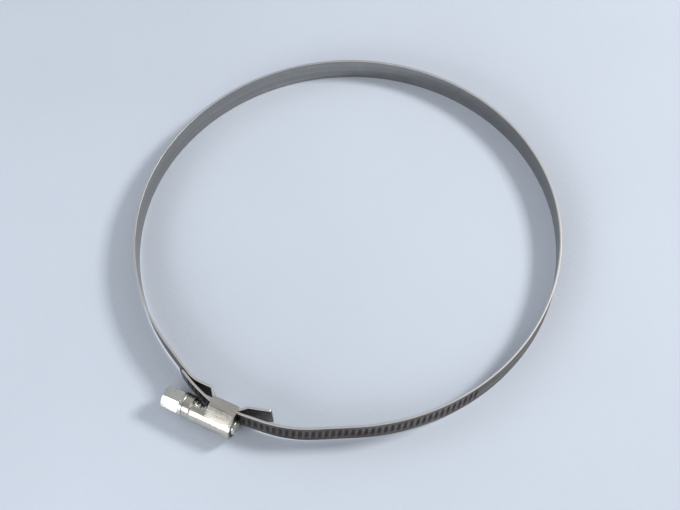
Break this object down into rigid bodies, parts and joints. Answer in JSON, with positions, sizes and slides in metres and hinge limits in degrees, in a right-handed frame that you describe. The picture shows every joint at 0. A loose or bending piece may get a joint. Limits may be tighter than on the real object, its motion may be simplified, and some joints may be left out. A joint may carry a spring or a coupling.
{
  "type": "worm-drive hose clamp",
  "caption": "Round band clamp for a hose, closed by a worm screw that runs in a one-piece housing and draws the band's pressed thread through it.",
  "frame": {"origin": "centre of the ring, which is the hose's centre, half way up the band", "axes": "+Z is the axis of the ring and hose; +X runs along the screw from its hex head to its tip; the housing is on the -Y side"},
  "size_m": [0.1414, 0.1513, 0.011],
  "materials": {
    "band_steel": "cold-rolled steel strip, dull grey",
    "housing_steel": "pressed steel sheet, bright",
    "plated_steel": "plated steel, faintly green"
  },
  "bodies": {
    "root": {"band": "band_steel", "housing": "housing_steel"},
    "screw": {"worm_screw": "plated_steel"}
  },
  "joints": [
    {"name": "screw_turn", "type": "hinge", "parent": "root", "child": "screw", "pos_m": [-0.0254, -0.0765, 0], "axis": [1, 0, 0], "continuous": true, "deforming": ["band"]}
  ]
}
